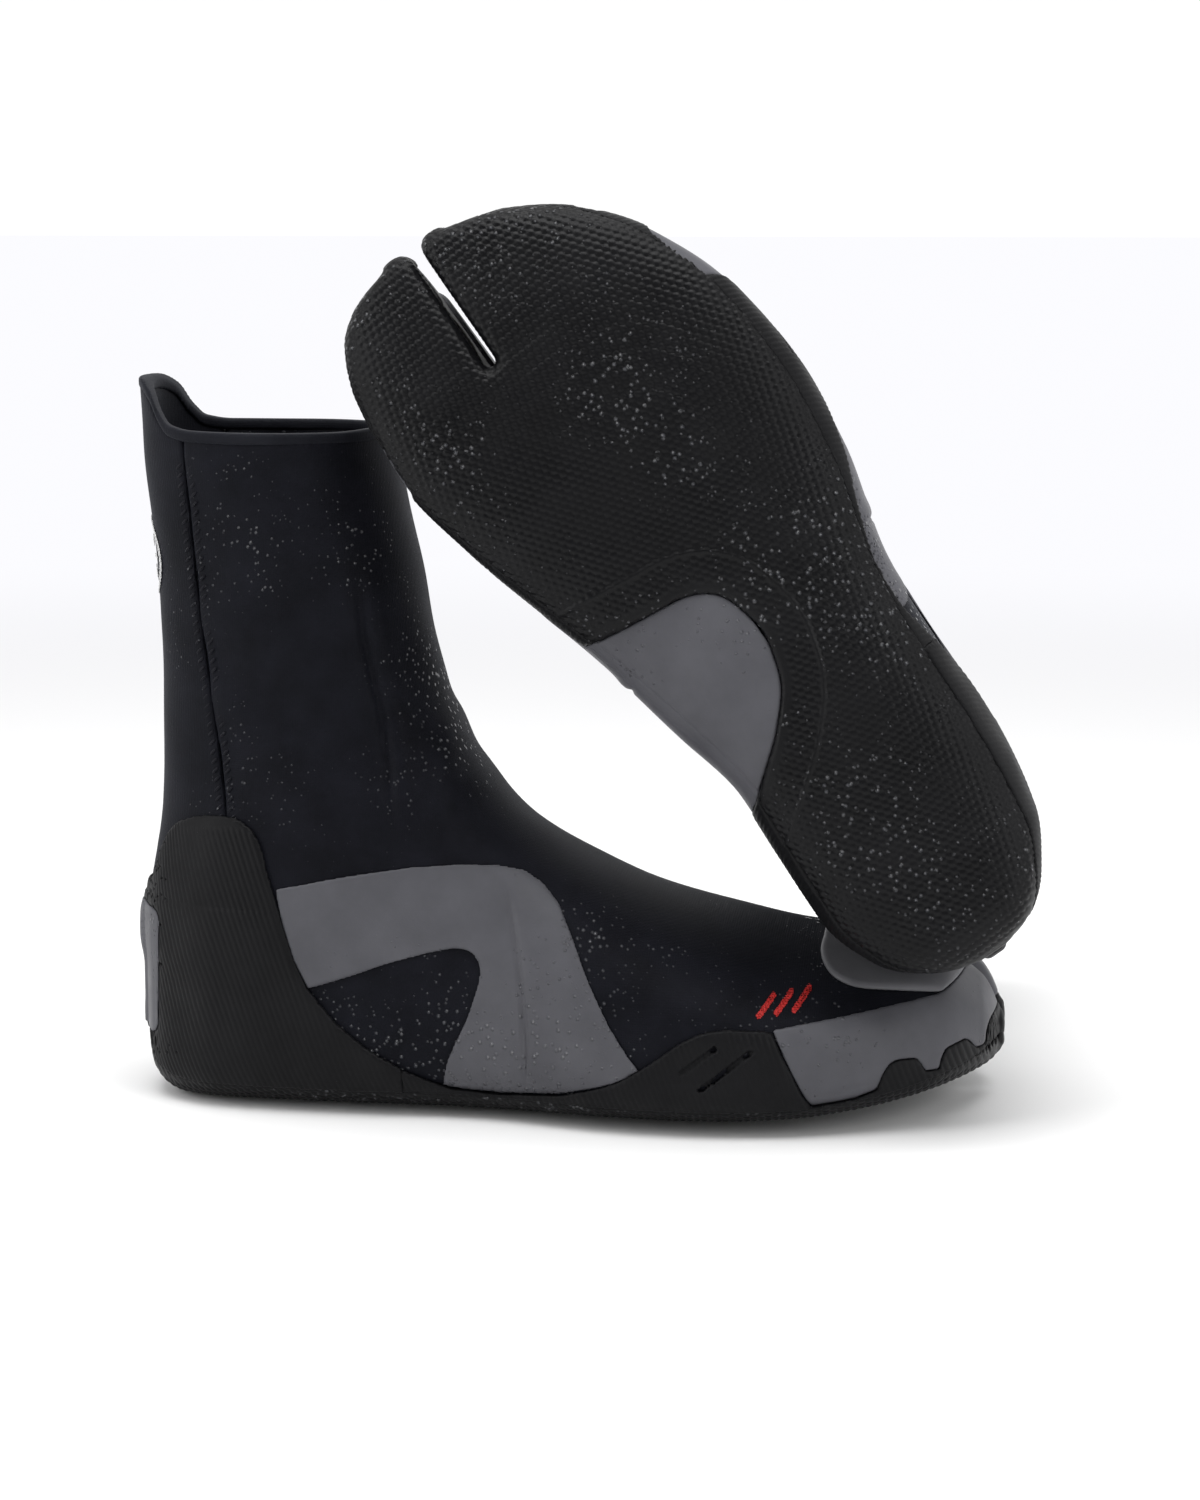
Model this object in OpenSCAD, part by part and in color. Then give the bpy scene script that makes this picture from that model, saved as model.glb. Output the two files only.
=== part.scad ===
// A pair of split-toe neoprene surf boots.
// The right boot stands on its sole. The left boot leans on it with its sole turned outwards:
// its heel rests by the right toe, and its toes rest at the front of the right cuff.
// +X runs from the right heel to the right toe, +Y towards the right boot's inner side, +Z up.
// Each boot is drawn in the right boot's place, and the left one is mirrored and moved.

/* [Boot] */
// Length of one boot from heel to toe
boot_length = 285; // [265:1:300]
// Width of the sole at the ball of the foot
ball_width = 119; // [105:1:128]
// Height of the cuff's rim above the ground
cuff_height = 222; // [205:1:245]
// Width of the slot between the big toe and the other toes
slot_width = 4.5; // [3:0.5:7]
// Length of that slot
slot_length = 44; // [30:1:52]

/* [Materials] */
// Thickness of the neoprene with its jersey on both faces
neoprene = 4; // [3:0.5:5]
// Thickness of the rubber of the outsole
sole = 5; // [4:0.5:7]
// Thickness of the rubber rands on the side of the foot
rubber = 1.6; // [1.2:0.1:2.2]
// Thickness of the smooth printed panels
panel = 1; // [0.6:0.1:1.2]
// Thickness of the loose insole
insole_height = 3; // [2:0.5:4]

/* [Ankle] */
// Angle of the flexing zone on each side of the ankle, for each boot's body
flex_angle = 10; // [8:1:12]
// Height of the bending axis above the ground
ankle_height = 105; // [102:1:110]

/* [Leaning boot] */
// Angle of the left sole from the ground
lean = 54; // [50:0.5:57]
// Turn of the left boot about its own length
roll = 4; // [0:1:6]
// Place of the left heel: along, across, up
left_heel = [284, -61, 62]; // [-400:1:400]

/* [Hidden] */

// Sizes that the shape curves below are drawn at, and the scale from them to this boot
drawn_length = 285;
drawn_ball = 119;
drawn_cuff = 222;
long = boot_length / drawn_length;
wide = ball_width / drawn_ball;
tall = cuff_height / drawn_cuff;

// Shape curves, each a list of [place, value] that a smooth line passes through
outer_edge = [[0, 4], [5, 17], [14, 26], [30, 35], [66, 40.5], [117, 43], [158, 53], [188, 56],
    [219, 53], [245, 43.5], [265, 29], [279, 9], [285, -9]];
inner_edge = [[0, 4], [5, 17], [19, 32], [38, 38], [66, 37], [86, 36], [110, 40], [155, 49],
    [199, 60], [228, 64.5], [258, 61], [274, 54], [281, 45], [285, 32]];
top_line = [[0, 60], [8, 88], [20, 108], [50, 126], [85, 131], [103, 128], [111, 116], [121, 103],
    [131, 93], [150, 81], [170, 71], [196, 62], [222, 55], [245, 52.5], [266, 48.5], [278, 41],
    [285, 30]];
apex_line = [[0, 0], [110, 0], [170, 8], [230, 24], [285, 24]];
shaft_back = [[40, 3], [66, 2], [98, 6], [131, 7], [163, 6.5], [196, 4], [219, 2], [250, 1]];
shaft_front = [[40, 100], [95, 108], [116, 109], [132, 103], [152, 98], [178, 93], [201, 88],
    [225, 83], [250, 80]];
shaft_side = [[40, 33], [98, 35.5], [132, 34.5], [163, 35.5], [200, 37], [225, 38], [250, 38.5]];

// Rise of the sole at the toes and at the back of the heel
toe_rise = 14;
toe_rise_start = 195;
heel_round = 17;
// Height of the outsole's cupped edge above the foot's underside
cup = 3.5;
// Middle of the slot, measured to the inner side
slot_middle = 20.5 * wide;
slot_root = boot_length - slot_length;
// Height of the edge of the neoprene tray under the foot, above the foot's underside
tray = neoprene + 2;
// Seam between the heel and the toe panels of the neoprene
side_seam = 112 * long;
// Bending axis of the ankle
ankle = [62 * long, ankle_height];
// Gap between pieces on different bodies
clear = 0.35;
// Stations along the foot and up the shaft, and points round each
foot_steps = 20;
shaft_steps = 9;
round_steps = 20;
far = 400;

// Smooth line through the points of a curve, without overshoot
function slope(c, i) = (c[i + 1][1] - c[i][1]) / (c[i + 1][0] - c[i][0]);
function tangent(c, i) =
    i == 0 ? slope(c, 0) :
    i == len(c) - 1 ? slope(c, len(c) - 2) :
    let (a = slope(c, i - 1), b = slope(c, i))
    a * b <= 0 ? 0 : 2 * a * b / (a + b);
function along(c, x) =
    let (
        i = max([for (k = [0:len(c) - 2]) if (k == 0 || c[k][0] <= x) k]),
        w = c[i + 1][0] - c[i][0],
        s = min(1, max(0, (x - c[i][0]) / w))
    )
    c[i][1] * (1 + 2 * s) * (1 - s) ^ 2 + c[i + 1][1] * s ^ 2 * (3 - 2 * s)
    + w * (tangent(c, i) * s * (1 - s) ^ 2 - tangent(c, i + 1) * s ^ 2 * (1 - s));

// Height of the outsole's underside, and of the foot's underside above it
function ground(x) =
    x > toe_rise_start ? toe_rise * ((x - toe_rise_start) / (drawn_length - toe_rise_start)) ^ 2 :
    x < heel_round ? heel_round * (1 - sqrt(1 - (1 - x / heel_round) ^ 2)) : 0;
function underside(x) = ground(x) + sole;
// A power that keeps the sign, for rounded oblongs
function bent(v, e) = sign(v) * abs(v) ^ e;
// A half width grown by t, less so where it runs out at an end
function grown(h, t) = h + t * min(1, abs(h) / 14);

// One closed outline across the foot, at the share s of its length and grown by t
function foot_ring(s, t) =
    let (
        x = s * drawn_length,
        apex = wide * along(apex_line, x),
        outer = grown(wide * along(outer_edge, x) + apex, t),
        inner = grown(wide * along(inner_edge, x) - apex, t),
        low = underside(x) - t,
        high = along(top_line, x) + t,
        waist = low + (high - low) * (x < 130 ? 0.3 : 0.36)
    )
    [for (k = [0:round_steps - 1])
        let (
            a = 360 * k / round_steps,
            e = sin(a) > 0 ? 0.84 : 0.42,
            reach = cos(a) > 0 ? inner : outer,
            rise = sin(a) > 0 ? high - waist : waist - low
        )
        [s * (boot_length + 2 * t) - t, apex + reach * bent(cos(a), e), waist + rise * bent(sin(a), e)]];

// One closed outline round the shaft at height z, grown by t
function shaft_ring(z, t) =
    let (
        back = long * along(shaft_back, z) - t,
        front = long * along(shaft_front, z) + t,
        side = wide * along(shaft_side, z) + t,
        half = (front - back) / 2
    )
    [for (k = [0:round_steps - 1])
        let (a = 360 * k / round_steps)
        [back + half * (1 + bent(cos(a), 0.9)), side * bent(sin(a), 0.9) * (1 + 0.08 * cos(a)),
            z < 100 ? z : 100 + (z - 100) * tall]];

// A closed solid through a row of outlines with the same number of points, each of which
// runs counterclockwise as seen from the last one
module loft(rings) {
    count = len(rings[0]);
    last = len(rings) - 1;
    polyhedron(
        points = [for (ring = rings) each ring],
        faces = [
            [for (i = [0:count - 1]) i],
            for (j = [0:last - 1]) for (i = [0:count - 1]) each [
                [j * count + i, (j + 1) * count + (i + 1) % count, j * count + (i + 1) % count],
                [j * count + i, (j + 1) * count + i, (j + 1) * count + (i + 1) % count]],
            [for (i = [count - 1:-1:0]) last * count + i]],
        convexity = 8);
}

// Whole foot and shaft as one solid, grown by t, still closed at the top and between the toes
module foot_form(t) {
    loft([for (i = [0:foot_steps]) foot_ring((1 - cos(180 * i / foot_steps)) / 2, t)]);
}
module shaft_form(t) {
    loft([for (i = [0:shaft_steps]) shaft_ring(48 + i * 202 / shaft_steps, t)]);
}
// The slot between the toes: slot_width between the rubber of its two sides, and wider for a
// form that is grown by less than the rubber
module slot(t) {
    half = slot_width / 2 + rubber - t;
    middle = slot_root + slot_width / 2;
    translate([middle, slot_middle, -50])
        linear_extrude(200)
            union() {
                translate([0, -half])
                    square([100, 2 * half]);
                circle(r = half, $fn = 12);
            }
}
module boot_form(t) {
    difference() {
        union() {
            foot_form(t);
            shaft_form(t);
        }
        slot(t);
    }
}

// A plate through the whole boot whose outline is drawn on its side, from one y to another
module side_plate(points, from = -far, to = far) {
    translate([0, to, 0])
        rotate([90, 0, 0])
            linear_extrude(to - from)
                polygon(points);
}
// An outline on the boot's side, stretched to this boot's length
function fitted(points) = [for (p = points) [p[0] * long, p[1]]];

// Everything under the rim, which rises to a tab at the back
module under_rim(drop = 0) {
    rim = cuff_height - drop;
    side_plate([[-20, -20], [-20, rim + 16.5], [3, rim + 16.5], [8, rim + 13], [12, rim + 5], [16, rim + 1.5],
        [24, rim], [70, rim], [85, rim + 1], [far, rim + 2], [far, -20]]);
}
// Below the ankle zone, and above it
module below_ankle() {
    drop = far * tan(flex_angle);
    side_plate([[ankle.x, ankle.y - clear], [ankle.x + far, ankle.y - clear - drop], [ankle.x + far, -far],
        [ankle.x - far, -far], [ankle.x - far, ankle.y - clear - drop]]);
}
module above_ankle() {
    drop = far * tan(flex_angle);
    side_plate([[ankle.x, ankle.y + clear], [ankle.x + far, ankle.y + clear + drop],
        [ankle.x + far, far], [ankle.x - far, far], [ankle.x - far, ankle.y + clear + drop]]);
}
// The outer (-Y) and inner (+Y) half of the boot
module outer_half() {
    translate([-far, -far, -far])
        cube([2 * far, far, 2 * far]);
}
module inner_half() {
    translate([-far, 0, -far])
        cube([2 * far, far, 2 * far]);
}
// The space that the outsole and its cupped edge take, wider than the foot by more, or as wide
// as asked for, and its lowest part taken off by depth
function sole_place(s) = s * (boot_length + 2 * rubber) - rubber;
function sole_ring(s, more, depth) =
    let (
        x = s * drawn_length,
        apex = wide * along(apex_line, x),
        outer = grown(wide * along(outer_edge, x) + apex, more),
        inner = grown(wide * along(inner_edge, x) - apex, more)
    )
    level_ring(sole_place(s), apex - outer, apex + inner, ground(x) + depth, underside(x) + cup);
function level_ring(x, y0, y1, z0, z1) = [[x, y0, z0], [x, y1, z0], [x, y1, z1], [x, y0, z1]];
module sole_space(more = rubber, depth = 0) {
    loft([for (i = [0:foot_steps]) sole_ring((1 - cos(180 * i / foot_steps)) / 2, more, depth)]);
}
// Everything below the top of the cupped edge, on both sides of the boot
module under_cup() {
    loft([for (i = [-1:foot_steps + 1])
        let (
            s = (1 - cos(180 * max(0, min(foot_steps, i)) / foot_steps)) / 2,
            past = i < 0 ? -20 : i > foot_steps ? 20 : 0
        )
        level_ring(sole_place(s) + past, -far, far, -60, underside(s * drawn_length) + cup)]);
}
// The cut-out in the sole under the inner arch, through which the grey cover shows
module arch_cut(t) {
    points = [[155, 70], [150, 40], [149, 12], [143, 4], [125, 1], [109, 5], [99, 15], [89, 28],
        [78, 42], [72, 70]];
    translate([0, 0, -50])
        linear_extrude(150)
            offset(delta = -t)
                polygon([for (p = points) [p[0] * long, p[1] * wide]]);
}
// A layer on the foot from thickness a to b, above the outsole's cupped edge
module layer(a, b) {
    difference() {
        boot_form(b);
        boot_form(a);
        under_cup();
    }
}
// Booleans of curved solids are worked out on their facets
module faceted() {
    resize([0, 0, 0])
        children();
}

// Outlines on the side of the foot
counter_outline = [[-20, -20], [-20, 68], [4, 72], [8, 84], [11, 89], [15.5, 94], [23, 97], [32, 98],
    [38.5, 97], [43.5, 93.5], [46.5, 87.5], [48, 81.5], [50.5, 74], [53, 64], [57, 51.5], [62, 41.5],
    [70.5, 31.5], [81, 23], [92, 16.5], [92, -20]];
rand_outline = [[92, -20], [92, 16.5], [101, 12.5], [108, 10], [125, 9], [145, 11], [159, 15.5],
    [165, 18], [171, 22], [177, 26], [184, 31.5], [191, 35], [199, 36], [206, 35.5], [213, 35.5],
    [226, 9], [226, -20]];
arch_outline = [[50.7, 75], [71, 79], [96, 83.5], [110, 84.5], [123, 83.5], [131.5, 81.5], [138, 77.5],
    [143.5, 72], [149, 62], [155, 49], [161.5, 36], [167, 27], [171, 22], [165, 18], [159, 15.5],
    [145, 11], [125, 9], [108, 10], [101, 12.5], [92, 16.5], [81, 23], [70.5, 31.5], [62, 41.5],
    [57, 51.5], [53, 64]];
window_outline = [[57, 41], [62, 42.5], [88.5, 51.5], [101.5, 55.5], [110, 57.5], [115, 57], [118, 54],
    [118.5, 50], [118, 46], [114, 34.5], [107.5, 20], [103, 7], [95, 6], [80, 16], [66, 29]];
toe_panel_outline = [[213.3, 35.3], [222, 37], [238, 39], [250, 40.5], [266, 41.5], [300, 42],
    [300, 10], [226.2, 9]];
toe_rand_outline = [[240, -20], [240, 14], [247, 16], [249.5, 21], [251, 23.5], [253.5, 24.5],
    [258.5, 24], [260.3, 21.5], [262, 19.3], [266, 19.3], [266.6, 22.5], [267.5, 25], [274, 26.5],
    [276, 25], [278, 23], [280.5, 23.3], [281, 27], [282, 29.5], [284.5, 31], [300, 33], [300, -20]];

module outsole() {
    color("#1b1b1d")
        faceted()
            difference() {
                sole_space();
                foot_form(0);
                slot(rubber);
                arch_cut(0);
            }
}
module heel_counter() {
    color("#202124")
        faceted()
            intersection() {
                layer(0, rubber);
                side_plate(fitted(counter_outline));
            }
}
module heel_patch() {
    color("#55575c")
        faceted()
            intersection() {
                layer(rubber, rubber + 0.8);
                side_plate([[-20, 21], [-20, 64], [8.6, 64], [8.2, 50], [6.5, 35], [4.8, 21]]);
            }
}
module side_rand() {
    color("#202124")
        faceted()
            intersection() {
                layer(0, rubber);
                side_plate(fitted(rand_outline));
                children();
            }
}
module toe_rand() {
    color("#202124")
        faceted()
            intersection() {
                layer(0, rubber);
                side_plate(fitted(toe_rand_outline));
                children();
            }
}
module arch_panel() {
    color("#58595e")
        faceted()
            difference() {
                intersection() {
                    layer(0, panel);
                    side_plate(fitted(arch_outline));
                    children();
                }
                side_plate(fitted(window_outline));
            }
}
module arch_cover() {
    color("#58595e")
        faceted()
            difference() {
                intersection() {
                    sole_space(panel, 1.5);
                    arch_cut(0);
                }
                foot_form(0);
            }
}
// The slot's own side of a toe: the outer toes, or the big toe
module small_toes() {
    translate([0, -far, -far])
        cube([far, far + slot_middle, 2 * far]);
}
module big_toe() {
    translate([0, slot_middle, -far])
        cube([far, far, 2 * far]);
}
module toe_panel() {
    color("#5c5e62")
        faceted()
            difference() {
                intersection() {
                    layer(0, panel);
                    side_plate(fitted(toe_panel_outline));
                    children();
                }
                side_plate(fitted(toe_rand_outline));
            }
}
module toe_top_patch() {
    corner = 14;
    color("#66686c")
        faceted()
            difference() {
                intersection() {
                    layer(0, panel);
                    translate([226 * long, -31.5 * wide, 30])
                        linear_extrude(100)
                            translate([corner, corner])
                                offset(r = corner, $fn = 16)
                                    square([50 * long - 2 * corner, 85.5 * wide - 2 * corner]);
                }
                side_plate(fitted(toe_panel_outline));
            }
}
module toe_mark() {
    color("#b3272c")
        faceted()
            intersection() {
                layer(0, panel);
                outer_half();
                translate([217 * long, 0, 42.5])
                    rotate([90, 0, 0])
                        cylinder(h = far, r = 4.5, $fn = 24);
            }
}
// The neoprene between the inside and the outside of the boot, without the wall between the toes
module neoprene_layer() {
    difference() {
        boot_form(0);
        boot_form(-neoprene);
    }
}
module divider_space() {
    half = slot_width / 2 + rubber + neoprene;
    translate([slot_root - rubber - neoprene - 3, slot_middle - half - 0.01, -50])
        cube([100, 2 * half + 0.02, 200]);
}
// Everything below the edge of the tray under the foot
module under_tray() {
    loft([for (i = [-1:foot_steps + 1])
        let (
            s = (1 - cos(180 * max(0, min(foot_steps, i)) / foot_steps)) / 2,
            past = i < 0 ? -20 : i > foot_steps ? 20 : 0
        )
        level_ring(s * boot_length + past, -far, far, -60, underside(s * drawn_length) + tray)]);
}
// The side seam between the heel and the toe panels, under the arch panel
module ahead_of_seam() {
    translate([side_seam, -far, -far])
        cube(2 * far);
}
module foot_bottom() {
    color("#17181b")
        faceted()
            difference() {
                intersection() {
                    neoprene_layer();
                    under_tray();
                }
                divider_space();
            }
}
module foot_wall() {
    difference() {
        intersection() {
            neoprene_layer();
            below_ankle();
        }
        under_tray();
        divider_space();
    }
}
module heel_upper() {
    color("#17181b")
        faceted()
            difference() {
                foot_wall();
                ahead_of_seam();
            }
}
module toe_upper() {
    color("#17181b")
        faceted()
            intersection() {
                foot_wall();
                ahead_of_seam();
            }
}
module toe_divider() {
    color("#17181b")
        faceted()
            intersection() {
                neoprene_layer();
                divider_space();
            }
}
module insole() {
    color("#2b2c30")
        faceted()
            intersection() {
                boot_form(-neoprene - 0.4);
                loft([for (i = [0:foot_steps])
                    let (
                        share = (1 - cos(180 * i / foot_steps)) / 2,
                        low = underside(share * drawn_length) + neoprene + 0.4
                    )
                    level_ring(share * boot_length, -far, far, low, low + insole_height)]);
            }
}
module ankle_zone() {
    color("#141518")
        faceted()
            difference() {
                neoprene_layer();
                below_ankle();
                above_ankle();
            }
}
// The back panel of the cuff lies between the two seams that run down from the rim
module back_panel_space(more = 0) {
    side_plate([[-20, -20], [33.5 * long + more, 98], [29.5 * long + more, 131], [25.5 * long + more, 164],
        [21.5 * long + more, 219], [21.5 * long + more, 300], [-20, 300]]);
}
module cuff_layer() {
    intersection() {
        neoprene_layer();
        above_ankle();
        under_rim(2);
    }
}
module cuff_front_panel() {
    color("#191b1f")
        faceted()
            difference() {
                cuff_layer();
                back_panel_space();
            }
}
module cuff_back_panel() {
    color("#191b1f")
        faceted()
            intersection() {
                cuff_layer();
                back_panel_space();
            }
}
// The bound edge round the rim
module cuff_hem() {
    color("#2a2c30")
        faceted()
            difference() {
                intersection() {
                    neoprene_layer();
                    under_rim();
                }
                under_rim(2);
            }
}
module seam_tapes() {
    color("#0f1012")
        faceted()
            intersection() {
                difference() {
                    boot_form(0.5);
                    boot_form(0);
                }
                above_ankle();
                under_rim(2);
                difference() {
                    back_panel_space(1.6);
                    back_panel_space(-1.6);
                }
            }
}
module cuff_mark() {
    color("#d8d9db")
        faceted()
            intersection() {
                difference() {
                    boot_form(0.4);
                    boot_form(0);
                }
                translate([-50, -4, 180 * tall])
                    rotate([0, 90, 0])
                        difference() {
                            cylinder(h = 80, r = 13.5, $fn = 24);
                            cylinder(h = 80, r = 9, $fn = 24);
                        }
            }
}

// One sub-part of one boot by its name
module part_of_boot(name) {
    if (name == "outsole") outsole();
    if (name == "heel_counter") heel_counter();
    if (name == "heel_patch") heel_patch();
    if (name == "outer_rand") side_rand() outer_half();
    if (name == "inner_rand") side_rand() inner_half();
    if (name == "small_toe_rand") toe_rand() small_toes();
    if (name == "big_toe_rand") toe_rand() big_toe();
    if (name == "outer_arch_panel") arch_panel() outer_half();
    if (name == "inner_arch_panel") arch_panel() inner_half();
    if (name == "arch_cover") arch_cover();
    if (name == "small_toe_panel") toe_panel() small_toes();
    if (name == "big_toe_panel") toe_panel() big_toe();
    if (name == "toe_top_patch") toe_top_patch();
    if (name == "toe_mark") toe_mark();
    if (name == "foot_bottom") foot_bottom();
    if (name == "heel_upper") heel_upper();
    if (name == "toe_upper") toe_upper();
    if (name == "toe_divider") toe_divider();
    if (name == "insole") insole();
    if (name == "ankle_zone") ankle_zone();
    if (name == "cuff_front_panel") cuff_front_panel();
    if (name == "cuff_back_panel") cuff_back_panel();
    if (name == "cuff_hem") cuff_hem();
    if (name == "seam_tapes") seam_tapes();
    if (name == "cuff_mark") cuff_mark();
}
// The origin is on the ground under the right ankle
module right_place() {
    translate([-ankle.x, 0, 0])
        children();
}
// The left boot's place: mirrored, laid over so that its sole faces -Y, then leant back
module left_place() {
    translate(left_heel - [ankle.x, 0, 0])
        rotate([0, lean - 180, 0])
            rotate([roll - 90, 0, 0])
                mirror([0, 1, 0])
                    children();
}
right_place() part_of_boot("outsole");  // right_outsole
right_place() part_of_boot("heel_counter");  // right_heel_counter
right_place() part_of_boot("heel_patch");  // right_heel_patch
right_place() part_of_boot("outer_rand");  // right_outer_rand
right_place() part_of_boot("inner_rand");  // right_inner_rand
right_place() part_of_boot("small_toe_rand");  // right_small_toe_rand
right_place() part_of_boot("big_toe_rand");  // right_big_toe_rand
right_place() part_of_boot("outer_arch_panel");  // right_outer_arch_panel
right_place() part_of_boot("inner_arch_panel");  // right_inner_arch_panel
right_place() part_of_boot("arch_cover");  // right_arch_cover
right_place() part_of_boot("small_toe_panel");  // right_small_toe_panel
right_place() part_of_boot("big_toe_panel");  // right_big_toe_panel
right_place() part_of_boot("toe_top_patch");  // right_toe_top_patch
right_place() part_of_boot("toe_mark");  // right_toe_mark
right_place() part_of_boot("foot_bottom");  // right_foot_bottom
right_place() part_of_boot("heel_upper");  // right_heel_upper
right_place() part_of_boot("toe_upper");  // right_toe_upper
right_place() part_of_boot("toe_divider");  // right_toe_divider
right_place() part_of_boot("insole");  // right_insole
right_place() part_of_boot("ankle_zone");  // right_ankle_zone
right_place() part_of_boot("cuff_front_panel");  // right_cuff_front_panel
right_place() part_of_boot("cuff_back_panel");  // right_cuff_back_panel
right_place() part_of_boot("cuff_hem");  // right_cuff_hem
right_place() part_of_boot("seam_tapes");  // right_seam_tapes
right_place() part_of_boot("cuff_mark");  // right_cuff_mark
left_place() part_of_boot("outsole");  // left_outsole
left_place() part_of_boot("heel_counter");  // left_heel_counter
left_place() part_of_boot("heel_patch");  // left_heel_patch
left_place() part_of_boot("outer_rand");  // left_outer_rand
left_place() part_of_boot("inner_rand");  // left_inner_rand
left_place() part_of_boot("small_toe_rand");  // left_small_toe_rand
left_place() part_of_boot("big_toe_rand");  // left_big_toe_rand
left_place() part_of_boot("outer_arch_panel");  // left_outer_arch_panel
left_place() part_of_boot("inner_arch_panel");  // left_inner_arch_panel
left_place() part_of_boot("arch_cover");  // left_arch_cover
left_place() part_of_boot("small_toe_panel");  // left_small_toe_panel
left_place() part_of_boot("big_toe_panel");  // left_big_toe_panel
left_place() part_of_boot("toe_top_patch");  // left_toe_top_patch
left_place() part_of_boot("toe_mark");  // left_toe_mark
left_place() part_of_boot("foot_bottom");  // left_foot_bottom
left_place() part_of_boot("heel_upper");  // left_heel_upper
left_place() part_of_boot("toe_upper");  // left_toe_upper
left_place() part_of_boot("toe_divider");  // left_toe_divider
left_place() part_of_boot("insole");  // left_insole
left_place() part_of_boot("ankle_zone");  // left_ankle_zone
left_place() part_of_boot("cuff_front_panel");  // left_cuff_front_panel
left_place() part_of_boot("cuff_back_panel");  // left_cuff_back_panel
left_place() part_of_boot("cuff_hem");  // left_cuff_hem
left_place() part_of_boot("seam_tapes");  // left_seam_tapes
left_place() part_of_boot("cuff_mark");  // left_cuff_mark
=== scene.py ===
"""The looks of a pair of split-toe neoprene surf boots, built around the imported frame.

Each piece is worked out once, in millimetres, in the right boot's own place: x from the back of
the heel to the toes, y to the inner side, z up from the ground. A piece is a signed field, which
is negative inside it, and its surface is taken from a grid of that field. Moulded ribs, scales
and creases are then raised on the surface. The left boot's pieces are the mirrored ones, laid
where the frame's left boot lies."""

import bpy
import math
import numpy as np
from mathutils import Matrix, Vector


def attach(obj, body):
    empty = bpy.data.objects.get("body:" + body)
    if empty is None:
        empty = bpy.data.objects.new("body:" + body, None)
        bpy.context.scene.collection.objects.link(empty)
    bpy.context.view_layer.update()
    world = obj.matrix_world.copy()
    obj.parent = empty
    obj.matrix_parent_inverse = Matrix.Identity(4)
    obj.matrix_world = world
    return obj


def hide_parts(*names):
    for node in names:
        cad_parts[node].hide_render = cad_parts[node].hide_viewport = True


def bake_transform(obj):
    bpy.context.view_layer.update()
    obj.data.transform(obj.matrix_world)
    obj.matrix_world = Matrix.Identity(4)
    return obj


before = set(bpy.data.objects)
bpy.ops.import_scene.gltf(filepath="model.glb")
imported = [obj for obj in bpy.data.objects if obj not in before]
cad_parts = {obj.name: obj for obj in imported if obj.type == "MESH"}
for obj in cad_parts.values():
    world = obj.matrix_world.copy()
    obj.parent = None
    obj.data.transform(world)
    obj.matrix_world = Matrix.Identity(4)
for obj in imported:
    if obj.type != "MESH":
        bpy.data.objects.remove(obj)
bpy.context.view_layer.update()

MM = 0.001
SIDES = ("right", "left")

# ---- where the boots are, as the frame has them ----
ANKLE = Vector((62.0, 0.0, 105.0))
LEAN = 54.0
ROLL = 4.0
LEFT_HEEL = Vector((222.0, -61.0, 62.0))
PLACES = {
    "right": Matrix.Scale(MM, 4) @ Matrix.Translation((-ANKLE.x, 0, 0)),
    "left": Matrix.Scale(MM, 4) @ Matrix.Translation(LEFT_HEEL)
    @ Matrix.Rotation(math.radians(LEAN - 180), 4, "Y")
    @ Matrix.Rotation(math.radians(ROLL - 90), 4, "X")
    @ Matrix.Diagonal((1, -1, 1, 1)),
}

# ---- sizes, in millimetres ----
LENGTH = 285.0
SOLE = 5.0
NEOPRENE = 4.0
RUBBER = 1.6
PANEL = 1.0
CUP = 3.5
SLOT_WIDTH = 4.5
SLOT_MIDDLE = 20.5
SLOT_START = 243.2
SCALE_ROW = 2.0
SCALE_LENGTH = 2.8
RIB_PITCH = 2.0
TOE_RISE = 14.0
TOE_RISE_START = 195.0
HEEL_ROUND = 17.0
COUNTER_END = 92.0  # where the heel counter meets the side rand
LAP = 0.7  # how far the rands go down behind the sole's cupped edge


# ---- smooth lines through a few points ----
def smooth_line(points):
    """A function that passes smoothly through the points, without overshoot."""
    xs, ys = (np.array(v, float) for v in zip(*points))
    slopes = np.diff(ys) / np.diff(xs)
    tangents = np.empty(len(xs))
    tangents[0], tangents[-1] = slopes[0], slopes[-1]
    a, b = slopes[:-1], slopes[1:]
    same = a * b > 0
    tangents[1:-1] = np.where(same, 2 * a * b / np.where(same, a + b, 1), 0)
    table_x = np.linspace(xs[0], xs[-1], 1200)
    k = np.clip(np.searchsorted(xs, table_x, side="right") - 1, 0, len(xs) - 2)
    w = xs[k + 1] - xs[k]
    s = (table_x - xs[k]) / w
    table_y = (ys[k] * (1 + 2 * s) * (1 - s) ** 2 + ys[k + 1] * s ** 2 * (3 - 2 * s)
               + w * (tangents[k] * s * (1 - s) ** 2 - tangents[k + 1] * s ** 2 * (1 - s)))
    return lambda x: np.interp(x, table_x, table_y)


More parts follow.
